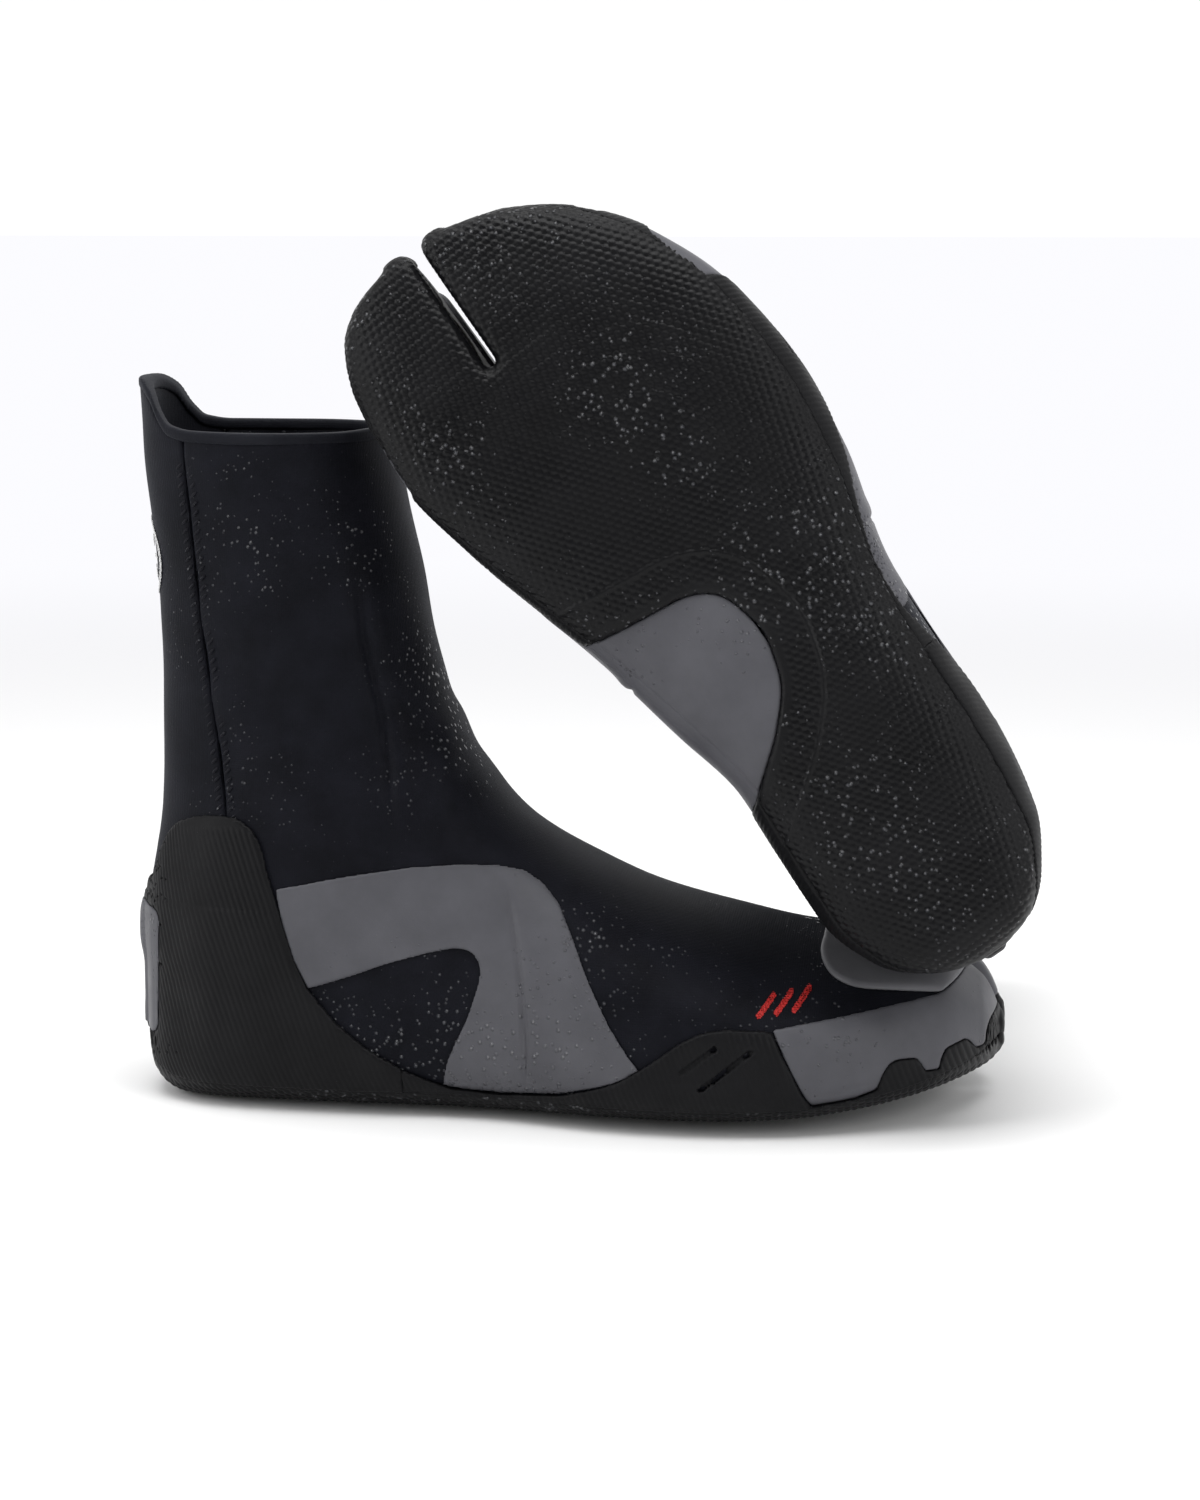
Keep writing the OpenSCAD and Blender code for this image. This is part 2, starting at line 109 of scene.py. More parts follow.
outer_edge = smooth_line([(0, 4), (5, 17), (14, 26), (30, 35), (66, 40.5), (117, 43), (158, 53),
                          (188, 56), (219, 53), (245, 43.5), (265, 29), (279, 9), (285, -9)])
inner_edge = smooth_line([(0, 4), (5, 17), (19, 32), (38, 38), (66, 37), (86, 36), (110, 40),
                          (155, 49), (199, 60), (228, 64.5), (258, 61), (274, 54), (281, 45),
                          (285, 32)])
top_line = smooth_line([(0, 60), (8, 88), (20, 108), (50, 126), (85, 131), (103, 128), (111, 116),
                        (121, 103), (131, 93), (150, 81), (170, 71), (196, 62), (222, 55),
                        (245, 52.5), (266, 48.5), (278, 41), (285, 30)])
apex_line = smooth_line([(0, 0), (110, 0), (170, 8), (230, 24), (285, 24)])
shaft_back = smooth_line([(40, 3), (66, 2), (98, 6), (131, 7), (163, 6.5), (196, 4), (219, 2),
                          (250, 1)])
shaft_front = smooth_line([(40, 100), (95, 108), (116, 109), (132, 103), (152, 98), (178, 93),
                           (201, 88), (225, 83), (250, 80)])
shaft_side = smooth_line([(40, 33), (98, 35.5), (132, 34.5), (163, 35.5), (200, 37), (225, 38),
                          (250, 38.5)])
rim_line = smooth_line([(-10, 238.8), (3, 238.5), (8, 235), (12, 228), (16, 223.8), (24, 222.3),
                        (45, 222), (70, 222), (85, 223), (100, 224)])
seam_line = smooth_line([(60, 37.5), (98, 33.5), (131, 29.5), (164, 25.5), (219, 21.5), (245, 20.5)])


def ground(x):
    toe = TOE_RISE * (np.clip(x - TOE_RISE_START, 0, None) / (LENGTH - TOE_RISE_START)) ** 2
    heel = np.clip(1 - np.clip(x, 0, None) / HEEL_ROUND, 0, 1)
    return toe + HEEL_ROUND * (1 - np.sqrt(1 - heel ** 2))


def cup_top(x):
    return ground(np.clip(x, 0, LENGTH)) + SOLE + CUP


# ---- fields ----
def both(a, b, round_by=0.0):
    """Inside both a and b, with the edge between them rounded."""
    if not round_by:
        return np.maximum(a, b)
    h = np.clip(round_by - np.abs(a - b), 0, None) / round_by
    return np.maximum(a, b) + h * h * round_by / 4


def either(a, b, round_by):
    """Inside a or b, with a fillet between them."""
    return -both(-a, -b, round_by)


def oblong(u, v, n, reach_u, reach_v):
    """How far outside a rounded oblong a point is, from its shares of the two reaches."""
    au, av = np.abs(u) + 1e-6, np.abs(v) + 1e-6
    g = (au ** n + av ** n) ** (1 / n)
    slope = np.hypot((au / g) ** (n - 1) / reach_u, (av / g) ** (n - 1) / reach_v)
    return (g - 1) / slope


def boot_form(x, y, z, grow=0.0, floor=SOLE, corner=4.76):
    """The whole boot as one form, grown by grow. Its underside is floor above the ground."""
    xe = np.clip(x, 0, LENGTH)
    apex, low, high = apex_line(xe), ground(xe) + floor, top_line(xe) + grow
    outer, inner = outer_edge(xe) + apex + grow, inner_edge(xe) - apex + grow
    waist = ground(xe) + SOLE + (top_line(xe) - ground(xe) - SOLE) * (0.33 + 0.03 * np.tanh((xe - 130) / 20))
    reach_y = np.where(y > apex, inner, outer)
    reach_z = np.where(z > waist, high - waist, waist - low)
    n = np.where(z > waist, 2.38, corner)
    foot = oblong((y - apex) / reach_y, (z - waist) / reach_z, n, reach_y, reach_z)
    foot = both(foot, np.maximum(x - LENGTH, -x) - grow, 5)

    ze = np.clip(z, 40, 250)
    back, front, side = shaft_back(ze) - grow, shaft_front(ze) + grow, shaft_side(ze) + grow
    half = (front - back) / 2
    u = (x - back) / half - 1
    side = side * (1 + 0.08 * np.clip(u, -1, 1))
    shaft = oblong(u, y / side, 2.22, half, side)
    shaft = both(shaft, 50 - z, 6)
    form = either(foot, shaft, 9)

    gap = np.hypot(np.clip(SLOT_START - x, 0, None), y - SLOT_MIDDLE) - (SLOT_WIDTH / 2 + RUBBER - grow)
    return both(form, -gap, 5)


def true_distance(f, step):
    """A field scaled so that it changes by 1 mm per mm, as far as its slope tells."""
    gx, gy, gz = np.gradient(f, step)
    return f / np.clip(np.sqrt(gx * gx + gy * gy + gz * gz), 0.3, 3)


def rounded(points, cut):
    """The outline with each corner rounded, from cut mm before it to cut mm after it."""
    p = np.array(points, float)
    out = []
    for before, corner, after in zip(np.roll(p, 1, axis=0), p, np.roll(p, -1, axis=0)):
        ends = []
        for other in (before, after):
            reach = other - corner
            length = np.hypot(*reach)
            ends.append(corner + reach * min(cut / length, 0.48))
        for t in (0, 0.25, 0.5, 0.75, 1):
            out.append((1 - t) ** 2 * ends[0] + 2 * t * (1 - t) * corner + t * t * ends[1])
    return np.array(out)


def outline_distance(points, u, v, cut=3.0):
    """The signed distance in a plane to a closed outline with rounded corners."""
    p = rounded(points, cut)
    u, v = np.broadcast_arrays(u, v)
    best = np.full(u.shape, 1e9)
    inside = np.zeros(u.shape, bool)
    for (ax, ay), (bx, by) in zip(p, np.roll(p, -1, axis=0)):
        dx, dy = bx - ax, by - ay
        t = np.clip(((u - ax) * dx + (v - ay) * dy) / (dx * dx + dy * dy + 1e-12), 0, 1)
        best = np.minimum(best, (u - ax - t * dx) ** 2 + (v - ay - t * dy) ** 2)
        if ay != by:
            crossed = ((ay > v) != (by > v)) & (u < dx * (v - ay) / (by - ay) + ax)
            inside ^= crossed
    return np.where(inside, -1, 1) * np.sqrt(best)


# ---- from a field to a mesh ----
CORNERS = [(i, j, k) for i in (0, 1) for j in (0, 1) for k in (0, 1)]
EDGES = [(a, b) for a in range(8) for b in range(a + 1, 8)
         if sum(p != q for p, q in zip(CORNERS[a], CORNERS[b])) == 1]


def trilinear(values, local):
    """A value and its slope inside unit cells, from the values at their eight corners."""
    value = np.zeros(len(local))
    slope = np.zeros((len(local), 3))
    for c, corner in enumerate(CORNERS):
        w = [local[:, a] if corner[a] else 1 - local[:, a] for a in range(3)]
        sign = [1 if corner[a] else -1 for a in range(3)]
        value += values[:, c] * w[0] * w[1] * w[2]
        slope[:, 0] += values[:, c] * sign[0] * w[1] * w[2]
        slope[:, 1] += values[:, c] * sign[1] * w[0] * w[2]
        slope[:, 2] += values[:, c] * sign[2] * w[0] * w[1]
    return value, slope


def surface_of(field, low, high, step):
    """The zero surface of a field in a box: its points, outward normals and four-sided faces."""
    axes = [np.arange(a, b + step, step) for a, b in zip(low, high)]
    x, y, z = np.meshgrid(*axes, indexing="ij", sparse=True)
    f = np.ascontiguousarray(field(x, y, z, step), float)
    inside = f < 0
    count = np.zeros([n - 1 for n in f.shape], np.uint8)
    for i, j, k in CORNERS:
        count += inside[i:f.shape[0] - 1 + i, j:f.shape[1] - 1 + j, k:f.shape[2] - 1 + k]
    cells = np.argwhere((count > 0) & (count < 8))
    number = np.full(count.shape, -1, np.int32)
    number[tuple(cells.T)] = np.arange(len(cells))
    values = np.stack([f[tuple((cells + c).T)] for c in CORNERS], axis=1)

    total, crossings = np.zeros((len(cells), 3)), np.zeros(len(cells))
    for a, b in EDGES:
        fa, fb = values[:, a], values[:, b]
        crossed = (fa < 0) != (fb < 0)
        t = np.where(crossed, fa / np.where(crossed, fa - fb, 1), 0)
        point = np.array(CORNERS[a]) + t[:, None] * (np.array(CORNERS[b]) - CORNERS[a])
        total += point * crossed[:, None]
        crossings += crossed
    local = total / crossings[:, None]
    for _ in range(3):
        value, slope = trilinear(values, local)
        square = np.clip((slope ** 2).sum(1), 1e-6, None)
        local = np.clip(local - (value / square)[:, None] * slope, 0.02, 0.98)
    slope = trilinear(values, local)[1]
    normals = slope / np.clip(np.linalg.norm(slope, axis=1), 1e-9, None)[:, None]
    points = np.array(low) + (cells + local) * step

    faces = []
    for axis in range(3):
        u, v = (axis + 1) % 3, (axis + 2) % 3
        first = [slice(None)] * 3
        second = [slice(None)] * 3
        first[axis], second[axis] = slice(0, -1), slice(1, None)
        for other in (u, v):
            first[other] = second[other] = slice(1, -1)
        from_inside = inside[tuple(first)] & ~inside[tuple(second)]
        from_outside = ~inside[tuple(first)] & inside[tuple(second)]
        for flag, order in ((from_inside, 1), (from_outside, -1)):
            at = np.argwhere(flag)
            at[:, u] += 1
            at[:, v] += 1
            ring = []
            for du, dv in ((-1, -1), (0, -1), (0, 0), (-1, 0))[::order]:
                c = at.copy()
                c[:, u] += du
                c[:, v] += dv
                ring.append(number[tuple(c.T)])
            faces.append(np.stack(ring, axis=1))
    return points, normals, np.concatenate(faces)


def refine(points, normals, faces, chosen):
    """Split each chosen four-sided face into four, and fan out the faces beside them."""
    ring = np.stack([faces, np.roll(faces, -1, axis=1)], axis=2)
    sides, side_of = np.unique(np.sort(ring.reshape(-1, 2), axis=1), axis=0, return_inverse=True)
    side_of = side_of.reshape(faces.shape)
    split = np.zeros(len(sides), bool)
    split[side_of[chosen].ravel()] = True
    touched = split[side_of].any(axis=1)
    middle = np.full(len(sides), -1)
    middle[split] = len(points) + np.arange(split.sum())
    centre = np.full(len(faces), -1)
    centre[touched] = len(points) + split.sum() + np.arange(touched.sum())
    both_ends, corners = sides[split], faces[touched]
    points = np.concatenate([points, points[both_ends].mean(1), points[corners].mean(1)])
    normals = np.concatenate([normals, normals[both_ends].mean(1), normals[corners].mean(1)])
    normals /= np.linalg.norm(normals, axis=1)[:, None]
    quads, triangles = [faces[~touched]], []
    beside = touched & ~chosen
    for k in range(4):
        here, c, m = faces[:, k], centre, middle[side_of]
        quads.append(np.stack([here, m[:, k], c, m[:, k - 1]], axis=1)[chosen])
        following = faces[:, (k + 1) % 4]
        halved = beside & (m[:, k] >= 0)
        whole = beside & (m[:, k] < 0)
        triangles.append(np.stack([here, m[:, k], c], axis=1)[halved])
        triangles.append(np.stack([m[:, k], following, c], axis=1)[halved])
        triangles.append(np.stack([here, following, c], axis=1)[whole])
    return points, normals, np.concatenate(quads), np.concatenate(triangles)


def mesh_of(name, points, quads, triangles, place):
    """A smooth-shaded mesh in metres, in the row frame, from points in the boot's own place."""
    m = np.array(place)
    points = points @ m[:3, :3].T + m[:3, 3]
    if np.linalg.det(m[:3, :3]) < 0:
        quads, triangles = quads[:, ::-1], triangles[:, ::-1]
    corners = np.concatenate([quads.ravel(), triangles.ravel()]).astype(np.int32)
    sizes = np.repeat([4, 3], [len(quads), len(triangles)]).astype(np.int32)
    mesh = bpy.data.meshes.new(name)
    mesh.vertices.add(len(points))
    mesh.vertices.foreach_set("co", points.astype(np.float32).ravel())
    mesh.loops.add(len(corners))
    mesh.loops.foreach_set("vertex_index", corners)
    mesh.polygons.add(len(sizes))
    mesh.polygons.foreach_set("loop_start", (np.cumsum(sizes) - sizes).astype(np.int32))
    mesh.polygons.foreach_set("loop_total", sizes)
    mesh.update(calc_edges=True)
    mesh.polygons.foreach_set("use_smooth", np.ones(len(sizes), bool))
    return mesh


NO_TRIANGLES = np.zeros((0, 3), int)


def add_piece(name, points, quads, triangles, material, slot, nodes, body):
    """The same piece on both boots. body is foot or cuff, whose empty the piece is attached to, or ankle for
    one that lies across both; that one is only baked in place.
    """
    for side in SIDES:
        mesh = mesh_of(f"{side}_{name}", points, quads, triangles, PLACES[side])
        mesh.materials.append(material)
        piece = bpy.data.objects.new(f"{side}_{name}", mesh)
        bpy.context.scene.collection.objects.link(piece)
        if body == "ankle":
            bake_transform(piece)
        else:
            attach(piece, f"{side}_{body}")
        if nodes:
            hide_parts(*[f"{side}_{n}" for n in nodes])


def add_formed(name, field, low, high, step, material, slot, nodes, body, raised=None, fine=None):
    """A piece from its field. The faces that fine chooses are made finer, and what raised gives
    is added along the normals."""
    points, normals, quads = surface_of(field, low, high, step)
    triangles = NO_TRIANGLES
    if fine is not None:
        chosen = fine(points[quads].mean(1), normals[quads].mean(1))
        points, normals, quads, triangles = refine(points, normals, quads, chosen)
    if raised is not None:
        points = points + normals * raised(points, normals)[:, None]
    add_piece(name, points, quads, triangles, material, slot, nodes, body)
    print(f"{name}: {len(quads)} four-sided and {len(triangles)} three-sided faces")


# ---- materials ----
def new_material(name, colour, roughness, sheen=0.0, specular=0.5):
    material = bpy.data.materials.new(name)
    material.use_nodes = True
    shader = material.node_tree.nodes["Principled BSDF"]
    shader.inputs["Base Color"].default_value = (*colour, 1)
    shader.inputs["Roughness"].default_value = roughness
    shader.inputs["Specular IOR Level"].default_value = specular
    if sheen:
        shader.inputs["Sheen Weight"].default_value = sheen
        shader.inputs["Sheen Roughness"].default_value = 0.5
        shader.inputs["Sheen Tint"].default_value = (0.75, 0.8, 1, 1)
    return material, material.node_tree, shader


def add_node(tree, kind, **values):
    node = tree.nodes.new(kind)
    for key, value in values.items():
        if key.startswith("in_"):
            node.inputs[key[3:].replace("_", " ")].default_value = value
        else:
            setattr(node, key, value)
    return node


def colour_variation(tree, shader, coords, dark, light, scale, detail=4.0):
    noise = add_node(tree, "ShaderNodeTexNoise", in_Scale=scale, in_Detail=detail, in_Roughness=0.6)
    ramp = add_node(tree, "ShaderNodeValToRGB")
    ramp.color_ramp.elements[0].position = 0.3
    ramp.color_ramp.elements[0].color = (*dark, 1)
    ramp.color_ramp.elements[1].position = 0.7
    ramp.color_ramp.elements[1].color = (*light, 1)
    tree.links.new(coords, noise.inputs["Vector"])
    tree.links.new(noise.outputs["Fac"], ramp.inputs["Fac"])
    tree.links.new(ramp.outputs["Color"], shader.inputs["Base Color"])


def roughness_variation(tree, shader, coords, low, high, scale):
    noise = add_node(tree, "ShaderNodeTexNoise", in_Scale=scale, in_Detail=3.0)
    spread = add_node(tree, "ShaderNodeMapRange", in_From_Min=0.3, in_From_Max=0.7, in_To_Min=low,
                      in_To_Max=high)
    tree.links.new(coords, noise.inputs["Vector"])
    tree.links.new(noise.outputs["Fac"], spread.inputs["Value"])
    tree.links.new(spread.outputs["Result"], shader.inputs["Roughness"])


def bump_from(tree, height, strength, distance, below=None):
    bump = add_node(tree, "ShaderNodeBump", in_Strength=strength, in_Distance=distance)
    tree.links.new(height, bump.inputs["Height"])
    if below is not None:
        tree.links.new(below, bump.inputs["Normal"])
    return bump.outputs["Normal"]


def object_coords(tree):
    return add_node(tree, "ShaderNodeTexCoord").outputs["Object"]


def droplets(tree, coords, scale, cover):
    """The height of small water beads, on the share of the surface that cover asks for."""
    cells = add_node(tree, "ShaderNodeTexVoronoi", feature="F1", in_Scale=scale, in_Randomness=1.0)
    patches = add_node(tree, "ShaderNodeTexNoise", in_Scale=19.0, in_Detail=3.0)
    size = add_node(tree, "ShaderNodeMapRange", in_From_Min=0.62 - cover, in_From_Max=0.85 - cover,
                    in_To_Min=0.0, in_To_Max=0.34)
    gap = add_node(tree, "ShaderNodeMath", operation="SUBTRACT")
    bead = add_node(tree, "ShaderNodeMath", operation="MULTIPLY", use_clamp=True)
    bead.inputs[1].default_value = 4.0
    tree.links.new(coords, cells.inputs["Vector"])
    tree.links.new(coords, patches.inputs["Vector"])
    tree.links.new(patches.outputs["Fac"], size.inputs["Value"])
    tree.links.new(size.outputs["Result"], gap.inputs[0])
    tree.links.new(cells.outputs["Distance"], gap.inputs[1])
    tree.links.new(gap.outputs["Value"], bead.inputs[0])
    return bead.outputs["Value"]


def beads_with_painted_glint(tree, shader, coords, normal, scale, cover):
    """Small water beads: they stand up from the surface, and are clear and glossy. Where they stand, the base
    colour is paled towards a light grey as a painted glint.
    """
    beads = droplets(tree, coords, scale, cover)
    raised = bump_from(tree, beads, 0.9, 0.0009, normal)
    # painted glint: the base colour is paled towards a light grey where the beads stand, in place of their
    # sparkle
    painted_glint = add_node(tree, "ShaderNodeMixRGB")
    painted_glint.inputs["Color2"].default_value = (0.1, 0.103, 0.115, 1)
    share = add_node(tree, "ShaderNodeMath", operation="MULTIPLY")
    share.inputs[1].default_value = 0.5
    tree.links.new(beads, share.inputs[0])
    tree.links.new(share.outputs["Value"], painted_glint.inputs["Fac"])
    tree.links.new(shader.inputs["Base Color"].links[0].from_socket, painted_glint.inputs["Color1"])
    tree.links.new(painted_glint.outputs["Color"], shader.inputs["Base Color"])
    tree.links.new(beads, shader.inputs["Coat Weight"])
    shader.inputs["Coat Roughness"].default_value = 0.06
    tree.links.new(raised, shader.inputs["Coat Normal"])
    tree.links.new(raised, shader.inputs["Normal"])


def neoprene_material(name, dark, light, wet=0.235):
    """Jersey over foam: a fine knit of crossed waves, a soft sheen, and small water beads with a painted
    glint.
    """
    material, tree, shader = new_material(name, light, 0.6, sheen=0.03, specular=0.07)
    coords = object_coords(tree)
    colour_variation(tree, shader, coords, dark, light, 60.0)
    knit = None
    for direction in ("X", "Y", "Z"):
        wave = add_node(tree, "ShaderNodeTexWave", wave_type="BANDS", bands_direction=direction,
                        in_Scale=420.0, in_Distortion=1.5, in_Detail=2.0, in_Detail_Scale=3.0)
        tree.links.new(coords, wave.inputs["Vector"])
        if knit is None:
            knit = wave.outputs["Fac"]
        else:
            product = add_node(tree, "ShaderNodeMath", operation="ADD")
            tree.links.new(knit, product.inputs[0])
            tree.links.new(wave.outputs["Fac"], product.inputs[1])
            knit = product.outputs["Value"]
    normal = bump_from(tree, knit, 0.14, 0.0002)
    grain = add_node(tree, "ShaderNodeTexNoise", in_Scale=1500.0, in_Detail=3.0)
    tree.links.new(coords, grain.inputs["Vector"])
    normal = bump_from(tree, grain.outputs["Fac"], 0.5, 0.0002, normal)
    beads_with_painted_glint(tree, shader, coords, normal, 430.0, wet)
    return material


def rubber_material(name, dark, light, low, high, wet=0.05, grain_scale=900.0, grain=0.35,
                    specular=0.16):
    """Rubber or film: a fine grain, a roughness that varies from low to high, and water beads with a painted
    glint.
    """
    material, tree, shader = new_material(name, light, low, specular=specular)
    coords = object_coords(tree)
    colour_variation(tree, shader, coords, dark, light, 45.0)
    roughness_variation(tree, shader, coords, low, high, 70.0)
    noise = add_node(tree, "ShaderNodeTexNoise", in_Scale=grain_scale, in_Detail=4.0)
    tree.links.new(coords, noise.inputs["Vector"])
    normal = bump_from(tree, noise.outputs["Fac"], grain, 0.0002)
    beads_with_painted_glint(tree, shader, coords, normal, 400.0, wet)
    return material


neoprene = neoprene_material("black_jersey", (0.0022, 0.0024, 0.004), (0.0055, 0.0058, 0.009))
dry_neoprene = neoprene_material("dry_jersey", (0.0022, 0.0024, 0.004), (0.0055, 0.0058, 0.009), 0.08)
lining = neoprene_material("seam_thread", (0.006, 0.006, 0.008), (0.012, 0.012, 0.015))
binding = neoprene_material("rim_binding", (0.005, 0.0055, 0.008), (0.01, 0.0105, 0.014), 0.05)
sole_rubber = rubber_material("sole_rubber", (0.0025, 0.0025, 0.003), (0.0048, 0.0048, 0.0056),
                              0.34, 0.48, wet=0.25, specular=0.14)
rand_rubber = rubber_material("rand_rubber", (0.003, 0.003, 0.0036), (0.0055, 0.0055, 0.0063),
                              0.45, 0.6, specular=0.12)
grey_film = rubber_material("grey_film", (0.062, 0.062, 0.07), (0.082, 0.082, 0.092), 0.4, 0.52,
                            wet=0.22, grain_scale=1400.0, grain=0.3)
pad_film = rubber_material("pad_film", (0.1, 0.1, 0.108), (0.13, 0.13, 0.14), 0.4, 0.52, wet=0.1,
                           grain_scale=1400.0, grain=0.3)
red_print = rubber_material("red_print", (0.36, 0.02, 0.018), (0.5, 0.03, 0.028), 0.35, 0.45, 0.0)
white_print = rubber_material("white_print", (0.5, 0.5, 0.5), (0.7, 0.7, 0.7), 0.4, 0.5, 0.0)
footbed = neoprene_material("footbed", (0.02, 0.02, 0.023), (0.035, 0.035, 0.038))

# ---- outlines on the side of the foot: x and z ----
COUNTER = [(-30, -20), (-30, 69), (-5, 70), (4, 73), (8, 84), (11, 89.5), (15.5, 94), (23, 97), (32, 98),
           (38.5, 97), (43.5, 93.5), (46.5, 87.5), (48, 81.5), (50.5, 74), (53, 64), (57, 51.5), (62, 41.5),
           (70.5, 31.5), (81, 23), (92, 16.5), (93, -20)]
RAND = [(92, -40), (92, 16.5), (101, 12.5), (108, 10), (125, 9), (145, 11), (159, 15.5), (165, 18), (171, 22),
        (177, 26), (184, 31.5), (191, 35), (199, 36.2), (206, 35.8), (213, 35.5), (220, 21), (226, 9),
        (227, -40)]
ARCH = [(50.7, 75), (71, 79), (96, 83.5), (110, 84.5), (123, 83.5), (131.5, 81.5), (138, 77.5), (143.5, 72),
        (149, 62), (155, 49), (161.5, 36), (167, 27), (171, 22), (172, -20), (90, -20), (80, 20),
        (70.5, 31.5), (62, 41.5), (57, 51.5), (53, 64)]
WINDOW = [(55, 40.3), (62, 42.5), (88.5, 51.5), (101.5, 55.5), (110, 57.5), (115, 57), (118, 54), (118.7, 50),
          (118, 46), (114, 34.5), (107.5, 20), (101, -4), (90, -4), (70, 20)]
TOE_PANEL = [(213.3, 35.6), (222, 37), (238, 39), (250, 40.5), (266, 41.8), (276, 46), (310, 46), (310, -20),
             (227, -20), (226.2, 9), (220, 21)]
TOE_RAND = [(238, -40), (240, 12), (246.5, 14.5), (248.5, 20), (250.5, 23), (253, 24), (258.5, 23.6),
            (260, 21.5), (261.5, 18.6), (266, 18.4), (266.6, 22), (268, 25), (274, 26.5), (275.5, 25),
            (277.5, 22), (280.5, 22.3), (281, 27), (282, 29.5), (284.5, 31), (310, 33), (310, -40)]
# Plan outlines: x and y
ARCH_CUT = [(158, 85), (154, 52), (151, 30), (149, 12), (143, 3), (126, -1), (109, 4), (97, 15), (87, 28),
            (76, 42), (66, 62), (60, 85)]
TOP_PATCH = [(226.5, 4), (226, -12), (227.5, -22), (231, -29), (237, -32), (244, -31), (256, -26),
             (268, -18.5), (300, -8), (300, 60), (262, 60), (240, 52), (230, 38), (226.5, 22)]


SIDE_RUBBER = COUNTER[:-2] + RAND[1:]


def on_side(points, x, z, cut=2.0):
    return outline_distance(points, x, z, cut)


def side_rubber(x, y, z):
    """The counter and the rand in one outline, without the cut-out under the inner arch."""
    return np.maximum(on_side(SIDE_RUBBER, x, z), 0.3 - outline_distance(ARCH_CUT, x, y, 6))


def wave(value, pitch):
    """Rounded ribs: from 0 in the grooves to 1 on the ribs."""
    return np.abs(np.sin(np.pi * value / pitch)) ** 0.8


def fade(value, start, end):
    t = np.clip((value - start) / (end - start), 0, 1)
    return t * t * (3 - 2 * t)


# ---- neoprene ----
def neoprene_shell(x, y, z, step):
    outside = true_distance(boot_form(x, y, z), step)
    shell = both(outside, -outside - NEOPRENE)
    return both(shell, z - rim_line(x) + 1.5, 1.5)


def back_region(x, z):
    return np.maximum(x - seam_line(z), 72 - z)


def front_field(x, y, z, step):
    return both(neoprene_shell(x, y, z, step), -back_region(x, z), 1.2)


def back_field(x, y, z, step):
    return both(neoprene_shell(x, y, z, step), back_region(x, z), 1.2)


def fabric_folds(points, normals):
    """Soft unevenness of the stretched foam, and the long crease down the front of the cuff."""
    x, y, z = points.T
    soft = (0.22 * np.sin(x / 7.3 + z / 19) * np.sin(z / 9.1 - y / 13)
            + 0.18 * np.sin(z / 5.7 + y / 8.3 + 1.3) * np.sin(x / 11.9 - 0.7))
    line = 73.8 + (200.7 - z) * 0.155 + 0.7 * np.sin(z / 9)
    across = np.where(y < 0, x - line, 99)
    crease = fade(z, 92, 112) * (1 - fade(z, 158, 182))
    fold = crease * (1.3 * np.exp(-((across - 4.5) / 4) ** 2) - 2.0 * np.exp(-(across / 1.3) ** 2))
    ankle = 0.5 * np.sin(z / 3.6 + x / 40) * np.exp(-((z - 112) / 14) ** 2) * fade(x, 70, 105)
    pucker = 0.35 * np.sin(z / 4.1) * np.exp(-((x - seam_line(z) - 5) / 6) ** 2) * fade(z, 100, 130)
    return soft * fade(z, 60, 90) + fold + ankle + pucker


BOOT_LOW, BOOT_HIGH = (-6, -64, 2), (290, 72, 240)
add_formed("neoprene_upper", front_field, BOOT_LOW, BOOT_HIGH, 1.6, neoprene, "neoprene",
           ["foot_bottom", "heel_upper", "toe_upper", "toe_divider", "ankle_zone", "cuff_front_panel"],
           "ankle", fabric_folds)
add_formed("cuff_back", back_field, (-6, -42, 66), (44, 42, 242), 1.1, dry_neoprene, "neoprene",
           ["cuff_back_panel"], "ankle", fabric_folds)


def hem_field(x, y, z, step):
    outside = true_distance(boot_form(x, y, z), step)
    band = both(outside - 0.45, -outside - NEOPRENE - 0.45, 1.0)
    height = z - rim_line(x)
    return both(band, np.abs(height + 1.7) - 1.9, 1.2)


add_formed("rim_binding", hem_field, (-4, -44, 210), (90, 44, 243), 0.7, binding, "binding",
           ["cuff_hem"], "cuff")


# ---- rubber ----
def rubber_form(x, y, z):
    return boot_form(x, y, z, RUBBER, 0.0, 4.0)


def rubber_shell(x, y, z, step):
    outside = true_distance(rubber_form(x, y, z), step)
    return both(outside, -true_distance(boot_form(x, y, z), step))


def downward(centres, normals):
    return normals[:, 2] < -0.2


def outward(centres, normals):
    """The faces on the outside of a thin layer, which the ribs are raised on."""
    x, y, z = centres.T
    middle = apex_line(np.clip(x, 0, LENGTH))
    return ((normals[:, 1] * (y - middle) > 0) | (normals[:, 0] * (x - 140) > 60)) & (normals[:, 2] > -0.75)


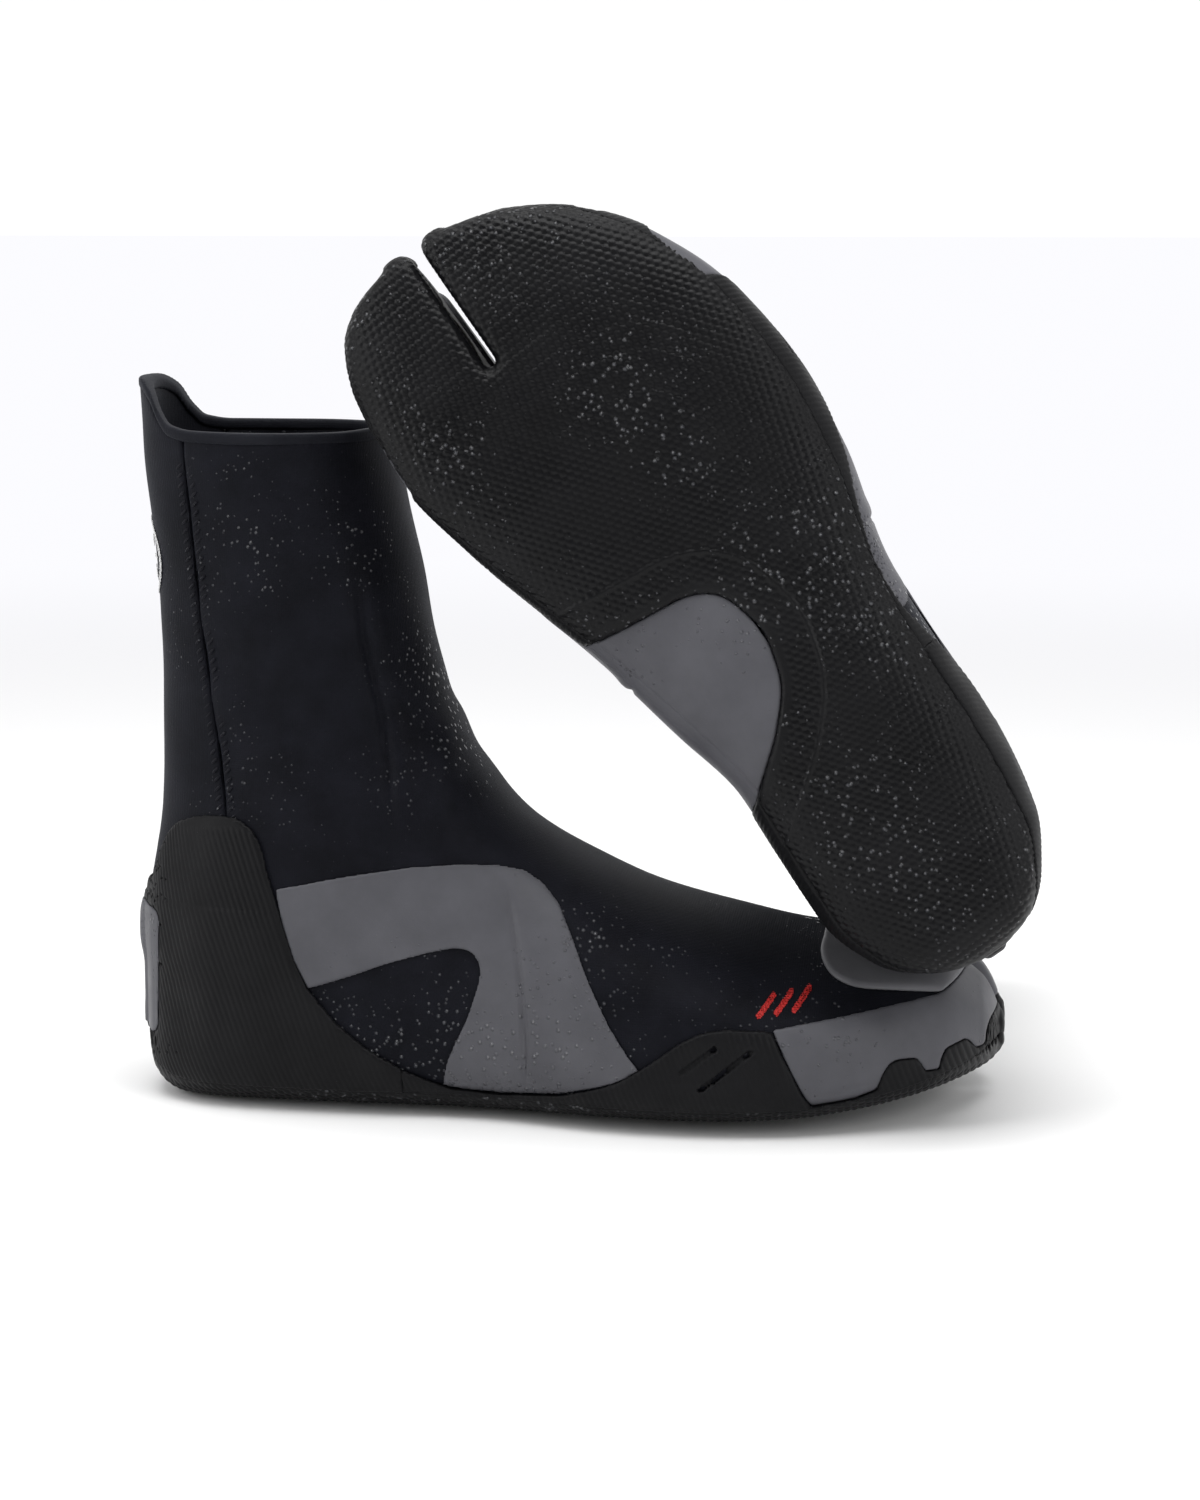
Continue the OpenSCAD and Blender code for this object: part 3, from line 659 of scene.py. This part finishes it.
def scales(points, normals):
    """Small domed scales in slanting rows over the sole, ribs round its edge, and a thin raised
    line that runs round the cut-out."""
    x, y, z = points.T
    under = fade(-normals[:, 2], 0.35, 0.7)
    turn = math.radians(38)
    along, across = x * math.cos(turn) + y * math.sin(turn), y * math.cos(turn) - x * math.sin(turn)
    row = across / SCALE_ROW
    u = 2 * ((along / SCALE_LENGTH + 0.5 * (np.floor(row) % 2)) % 1) - 1
    v = 2 * (row % 1) - 1
    dome = np.clip(1 - 0.8 * u ** 2 - 0.8 * v ** 2, 0, 1)
    inset = outline_distance(ARCH_CUT, x, y, 6)
    away = fade(inset, 2.5, 4.0)
    line = np.exp(-((inset - 13) / 0.7) ** 2)
    edge = fade(normals[:, 2], -0.6, -0.3) * (1 - fade(normals[:, 2], 0.3, 0.6))
    ribs = wave(x + 0.35 * z, RIB_PITCH) * edge
    return under * away * (0.45 * dome * (1 - line) + 0.8 * line) + 0.28 * ribs


def outsole_field(x, y, z, step):
    shell = both(rubber_shell(x, y, z, step), z - cup_top(x))
    return both(shell, -outline_distance(ARCH_CUT, x, y, 6), 1.8)


add_formed("outsole", outsole_field, (-4, -62, -1.5), (290, 70, 29), 1.0, sole_rubber, "sole_rubber",
           ["outsole"], "foot", scales, downward)


def heel_patch_region(x, z):
    return both(x - 6.2 - z / 25, np.abs(z - 42.5) - 21.5, 5)


def counter_ribs(points, normals):
    x, y, z = points.T
    facing = fade(np.abs(normals[:, 0]) + np.abs(normals[:, 1]), 0.4, 0.8)
    turned = math.pi / 2 - np.arctan2(np.abs(y), np.clip(30 - x, 1e-3, None))
    arc = np.where(x < 30, 30 - 33 * turned, x)
    ribs = wave(arc + 0.35 * z, RIB_PITCH) * fade(heel_patch_region(x, z), -0.3, 1.0)
    smooth_rim = 1 - fade(z, 92, 95)
    ridge = 0.35 * (1 - fade(z, 66.5, 67.8)) * fade(heel_patch_region(x, z), -0.3, 1.0)
    return facing * (0.24 * ribs * smooth_rim * fade(x, 2, 12) + ridge)


def counter_field(x, y, z, step):
    shell = both(rubber_shell(x, y, z, step), side_rubber(x, y, z), 1.2)
    return both(shell, np.maximum(cup_top(x) - LAP - z, x - COUNTER_END))


add_formed("heel_counter", counter_field, (-4, -44, 7), (94, 44, 101), 0.9, rand_rubber, "rand_rubber",
           ["heel_counter"], "foot", counter_ribs, outward)


def heel_patch_field(x, y, z, step):
    outside = true_distance(rubber_form(x, y, z), step)
    return both(both(outside - 0.5, -outside - 0.2), heel_patch_region(x, z), 0.35)


add_formed("heel_patch", heel_patch_field, (-5, -30, 18), (14, 30, 70), 0.5, grey_film, "grey_print",
           ["heel_patch"], "foot")


def side_ribs(points, normals):
    x, y, z = points.T
    facing = fade(np.abs(normals[:, 1]) + np.abs(normals[:, 0]), 0.4, 0.8)
    return facing * 0.26 * wave(x + 0.35 * z, RIB_PITCH)


def groove(x, z, start, end, radius):
    (ax, az), (bx, bz) = start, end
    t = np.clip(((x - ax) * (bx - ax) + (z - az) * (bz - az)) / ((bx - ax) ** 2 + (bz - az) ** 2), 0, 1)
    return np.hypot(x - ax - t * (bx - ax), z - az - t * (bz - az)) - radius


def rand_field(x, y, z, step):
    base = true_distance(boot_form(x, y, z), step)
    outside = true_distance(rubber_form(x, y, z), step)
    shell = both(both(outside, -base), side_rubber(x, y, z), 1.2)
    for start, end in (((185, 22), (195.5, 30)), ((191, 16.5), (207, 29))):
        cut = np.maximum(groove(x, z, start, end, 0.9), 0.6 - base)
        shell = both(shell, -cut, 0.5)
    return both(shell, np.maximum(cup_top(x) - LAP - z, COUNTER_END - x))


def toe_rand_field(x, y, z, step):
    shell = both(rubber_shell(x, y, z, step), on_side(TOE_RAND, x, z, 1.0), 0.5)
    return both(shell, cup_top(x) - LAP - z)


def film_layer(x, y, z, step, thick):
    outside = true_distance(boot_form(x, y, z), step)
    return both(outside - thick, -outside)


def arch_form(x, y, z):
    """The outside of the grey film: fuller under the inner arch, where it fills the cut-out."""
    return np.where(y > 0, either(boot_form(x, y, z, PANEL), boot_form(x, y, z, PANEL, 1.6, 3.4), 4),
                    boot_form(x, y, z, PANEL))


def arch_field(x, y, z, step):
    window = np.where(y > 0, np.maximum(on_side(WINDOW, x, z), 26 - z), on_side(WINDOW, x, z))
    region = both(on_side(ARCH, x, z, 1.0), -window)
    region = both(region, -side_rubber(x, y, z))
    outside = true_distance(arch_form(x, y, z), step)
    layer = both(outside, -true_distance(boot_form(x, y, z), step))
    return both(both(layer, region, 0.8), cup_top(x) - 0.3 - z)


def arch_crease(points, normals):
    x, y, z = points.T
    line = 133.5 - 0.0023 * np.clip(z - 22, 0, None) ** 2
    crease = fade(z, 10, 20) * (1 - fade(z, 68, 80))
    soft = 0.25 * np.sin(x / 9 + z / 14) * np.sin(z / 11)
    swell, cut = np.exp(-((x - line - 3.2) / 3) ** 2), np.exp(-(x - line) ** 2)
    return soft + crease * (0.5 * swell - 0.75 * cut)


def toe_panel_field(x, y, z, step):
    region = both(on_side(TOE_PANEL, x, z, 1.0), -on_side(TOE_RAND, x, z, 1.0))
    return both(both(film_layer(x, y, z, step, PANEL), region, 0.8), cup_top(x) - z)


for side_name, y_low, y_high in (("outer", -64, 0), ("inner", 0, 70)):
    add_formed(f"{side_name}_rand", rand_field, (90, y_low, 7), (229, y_high, 38), 0.85, rand_rubber,
               "rand_rubber", [f"{side_name}_rand"], "foot", side_ribs, outward)
    add_formed(f"{side_name}_arch_panel", arch_field, (46, y_low, 7), (175, y_high, 88), 0.62, grey_film,
               "grey_print", [f"{side_name}_arch_panel"], "foot", arch_crease)
for toe, y_low, y_high in (("small_toe", -58, SLOT_MIDDLE), ("big_toe", SLOT_MIDDLE, 70)):
    add_formed(f"{toe}_rand", toe_rand_field, (236, y_low, 7), (290, y_high, 46), 0.5, rand_rubber,
               "rand_rubber", [f"{toe}_rand"], "foot", side_ribs)
    add_formed(f"{toe}_panel", toe_panel_field, (210, y_low, 7), (290, y_high, 52), 0.55, grey_film,
               "grey_print", [f"{toe}_panel"], "foot")


def cover_field(x, y, z, step):
    outside = true_distance(arch_form(x, y, z), step)
    shell = both(outside, -true_distance(boot_form(x, y, z), step))
    shell = both(shell, outline_distance(ARCH_CUT, x, y, 6) + 0.2, 0.6)
    return both(shell, z - cup_top(x))


add_formed("arch_cover", cover_field, (56, -6, 0), (162, 62, 12), 0.6, grey_film, "grey_print",
           ["arch_cover"], "foot")


def patch_field(x, y, z, step):
    region = outline_distance(TOP_PATCH, x, y, 5)
    region = np.maximum(region, 30 - z)
    region = both(region, -on_side(TOE_PANEL, x, z, 1.0))
    return both(film_layer(x, y, z, step, 2.2), region, 2.0)


add_formed("toe_top_patch", patch_field, (220, -36, 28), (290, 66, 60), 0.6, pad_film, "grey_print",
           ["toe_top_patch"], "foot")


# ---- prints: plain generic shapes ----
def toe_mark_field(x, y, z, step):
    bars = np.full(np.broadcast(x, z).shape, 99.0)
    for k in range(3):
        start, end = (209 + 5.5 * k, 39.6 + 0.6 * k), (213 + 5.5 * k, 44.6 + 0.6 * k)
        bars = np.minimum(bars, groove(x, z, start, end, 1.1))
    return both(film_layer(x, y, z, step, 0.3), np.maximum(bars, y), 0.2)


add_formed("toe_mark", toe_mark_field, (204, -60, 36), (230, 0, 50), 0.4, red_print, "red_print",
           ["toe_mark"], "foot")


def cuff_mark_field(x, y, z, step):
    across, up = y + 4, z - 180
    radius = np.hypot(across, up)
    angle = np.arctan2(up, across)
    ring = np.abs(radius - 12.3) - 1.0
    spokes = np.maximum(np.abs(radius - 7.0) - 2.6, radius * np.abs(np.sin(4 * angle)) / 4 - 0.9)
    print_shape = np.minimum(ring, spokes)
    return both(film_layer(x, y, z, step, 0.35), np.maximum(print_shape, x - 40), 0.2)


add_formed("cuff_mark", cuff_mark_field, (0, -20, 165), (18, 12, 195), 0.4, white_print, "white_print",
           ["cuff_mark"], "cuff")


# ---- inside ----
def insole_field(x, y, z, step):
    inside = true_distance(boot_form(x, y, z), step) + NEOPRENE + 0.5
    top = z - ground(np.clip(x, 0, LENGTH)) - SOLE - NEOPRENE - 3.4
    return both(inside, top, 2.0)


add_formed("insole", insole_field, (0, -60, 6), (284, 66, 34), 1.5, footbed, "footbed", ["insole"], "foot")


# ---- stitching along the two seams of the back panel ----
def surface_y(x, z, sign):
    """How far out the boot's surface is at each x and z, on the side that sign gives."""
    near, far = np.zeros_like(x), np.full_like(x, 60.0)
    for _ in range(30):
        middle = (near + far) / 2
        inside = boot_form(x, sign * middle, z) < 0
        near, far = np.where(inside, middle, near), np.where(inside, far, middle)
    return sign * near


def stitch_mesh():
    """A row of small slanting stitches, each a short six-sided bead."""
    points, faces = [], []
    sides, pitch, radius = 6, 3.0, 0.42
    heights = np.arange(97, 214, pitch)
    for sign in (-1, 1):
        for line in (-2.2, 2.2):
            ends = []
            for shift, lift in ((-0.9, -0.8), (0.9, 0.8)):
                z = heights + lift
                x = seam_line(z) + line + shift
                ends.append(np.stack([x, surface_y(x, z, sign) + sign * 0.1, z], axis=1))
            for a, b in zip(*ends):
                axis = (b - a) / np.linalg.norm(b - a)
                u = np.cross(axis, (0, 1, 0))
                u /= np.linalg.norm(u)
                v = np.cross(axis, u)
                rings = [(-0.12, 0.0), (0.0, 0.6), (0.2, 1.0), (0.8, 1.0), (1.0, 0.6), (1.12, 0.0)]
                first = len(points)
                for share, size in rings:
                    size = max(size, 0.12)
                    for k in range(sides):
                        t = 2 * math.pi * k / sides
                        outward_step = math.cos(t) * u + math.sin(t) * v
                        points.append(a + (b - a) * share + radius * size * outward_step)
                for r in range(len(rings) - 1):
                    for k in range(sides):
                        n = (k + 1) % sides
                        faces.append((first + r * sides + k, first + r * sides + n,
                                      first + (r + 1) * sides + n, first + (r + 1) * sides + k))
                last = first + (len(rings) - 1) * sides
                for k in (1, 3):
                    faces.append((first, first + k + 2, first + k + 1, first + k))
                    faces.append((last, last + k, last + k + 1, last + k + 2))
    return np.array(points), np.array(faces), NO_TRIANGLES


add_piece("seam_stitching", *stitch_mesh(), lining, "binding", ["seam_tapes"], "ankle")

# ---- floor, light and camera ----
FLOOR_COLOUR = 0.83
FLOOR_FADE = (0.45, 1.7)  # from the lit floor by the boots to the even white far from them


def make_floor():
    """A pale floor which turns into an even white away from the boots."""
    bpy.ops.mesh.primitive_plane_add(size=40, location=(0, 0, -0.0005))
    floor = bpy.context.object
    floor.name = "floor"
    material, tree, shader = new_material("pale_floor", (0.82, 0.83, 0.86), 0.35, specular=0.0)
    floor.data.materials.append(material)
    distance = add_node(tree, "ShaderNodeVectorMath", operation="LENGTH")
    tree.links.new(object_coords(tree), distance.inputs[0])
    for socket, near, far in (("Emission Strength", 0.0, 1.0), ("Base Color", FLOOR_COLOUR, 0.0)):
        spread = add_node(tree, "ShaderNodeMapRange", interpolation_type="SMOOTHSTEP",
                          in_From_Min=FLOOR_FADE[0], in_From_Max=FLOOR_FADE[1], in_To_Min=near,
                          in_To_Max=far)
        tree.links.new(distance.outputs["Value"], spread.inputs["Value"])
        tree.links.new(spread.outputs["Result"], shader.inputs[socket])
    shader.inputs["Emission Color"].default_value = (0.97, 0.97, 1, 1)


def make_world():
    """A studio that is white behind the boots and dimmer in front of them."""
    world = bpy.data.worlds.new("studio")
    world.use_nodes = True
    bpy.context.scene.world = world
    tree = world.node_tree
    background = tree.nodes["Background"]
    background.inputs["Strength"].default_value = 1.0
    direction = add_node(tree, "ShaderNodeTexCoord")
    parts = add_node(tree, "ShaderNodeSeparateXYZ")
    sweep = add_node(tree, "ShaderNodeMapRange", interpolation_type="SMOOTHSTEP", in_From_Min=-0.5,
                     in_From_Max=0.35, in_To_Min=0.22, in_To_Max=1.02)
    tree.links.new(direction.outputs["Generated"], parts.inputs["Vector"])
    tree.links.new(parts.outputs["Y"], sweep.inputs["Value"])
    tree.links.new(sweep.outputs["Result"], background.inputs["Color"])


def add_light(name, place, target, size, power):
    data = bpy.data.lights.new(name, "AREA")
    data.shape = "RECTANGLE"
    data.size, data.size_y = size
    data.energy = power
    light = bpy.data.objects.new(name, data)
    bpy.context.scene.collection.objects.link(light)
    light.location = place
    light.rotation_euler = (Vector(target) - Vector(place)).to_track_quat("-Z", "Y").to_euler()


def make_camera(aim, azimuth, elevation, distance, lens):
    data = bpy.data.cameras.new("camera")
    data.lens = lens
    data.sensor_width = 36
    camera = bpy.data.objects.new("camera", data)
    bpy.context.scene.collection.objects.link(camera)
    a, e = math.radians(azimuth), math.radians(elevation)
    towards = Vector((math.sin(a) * math.cos(e), -math.cos(a) * math.cos(e), math.sin(e)))
    camera.location = aim + distance * towards
    camera.rotation_euler = (-towards).to_track_quat("-Z", "Y").to_euler()
    bpy.context.scene.camera = camera


make_floor()
make_world()
bpy.context.scene.view_settings.view_transform = "Standard"
add_light("top_softbox", (0.1, -0.3, 1.5), (0.08, 0, 0.1), (1.4, 1.0), 22)
add_light("left_strip", (-1.1, -0.7, 0.7), (0.05, 0, 0.12), (0.4, 1.4), 10)
add_light("right_fill", (1.3, -0.8, 0.6), (0.1, 0, 0.12), (0.6, 1.2), 8)
make_camera(Vector((0.0905, 0.0, 0.1162)), azimuth=6.5, elevation=9.1, distance=1.163, lens=84.6)
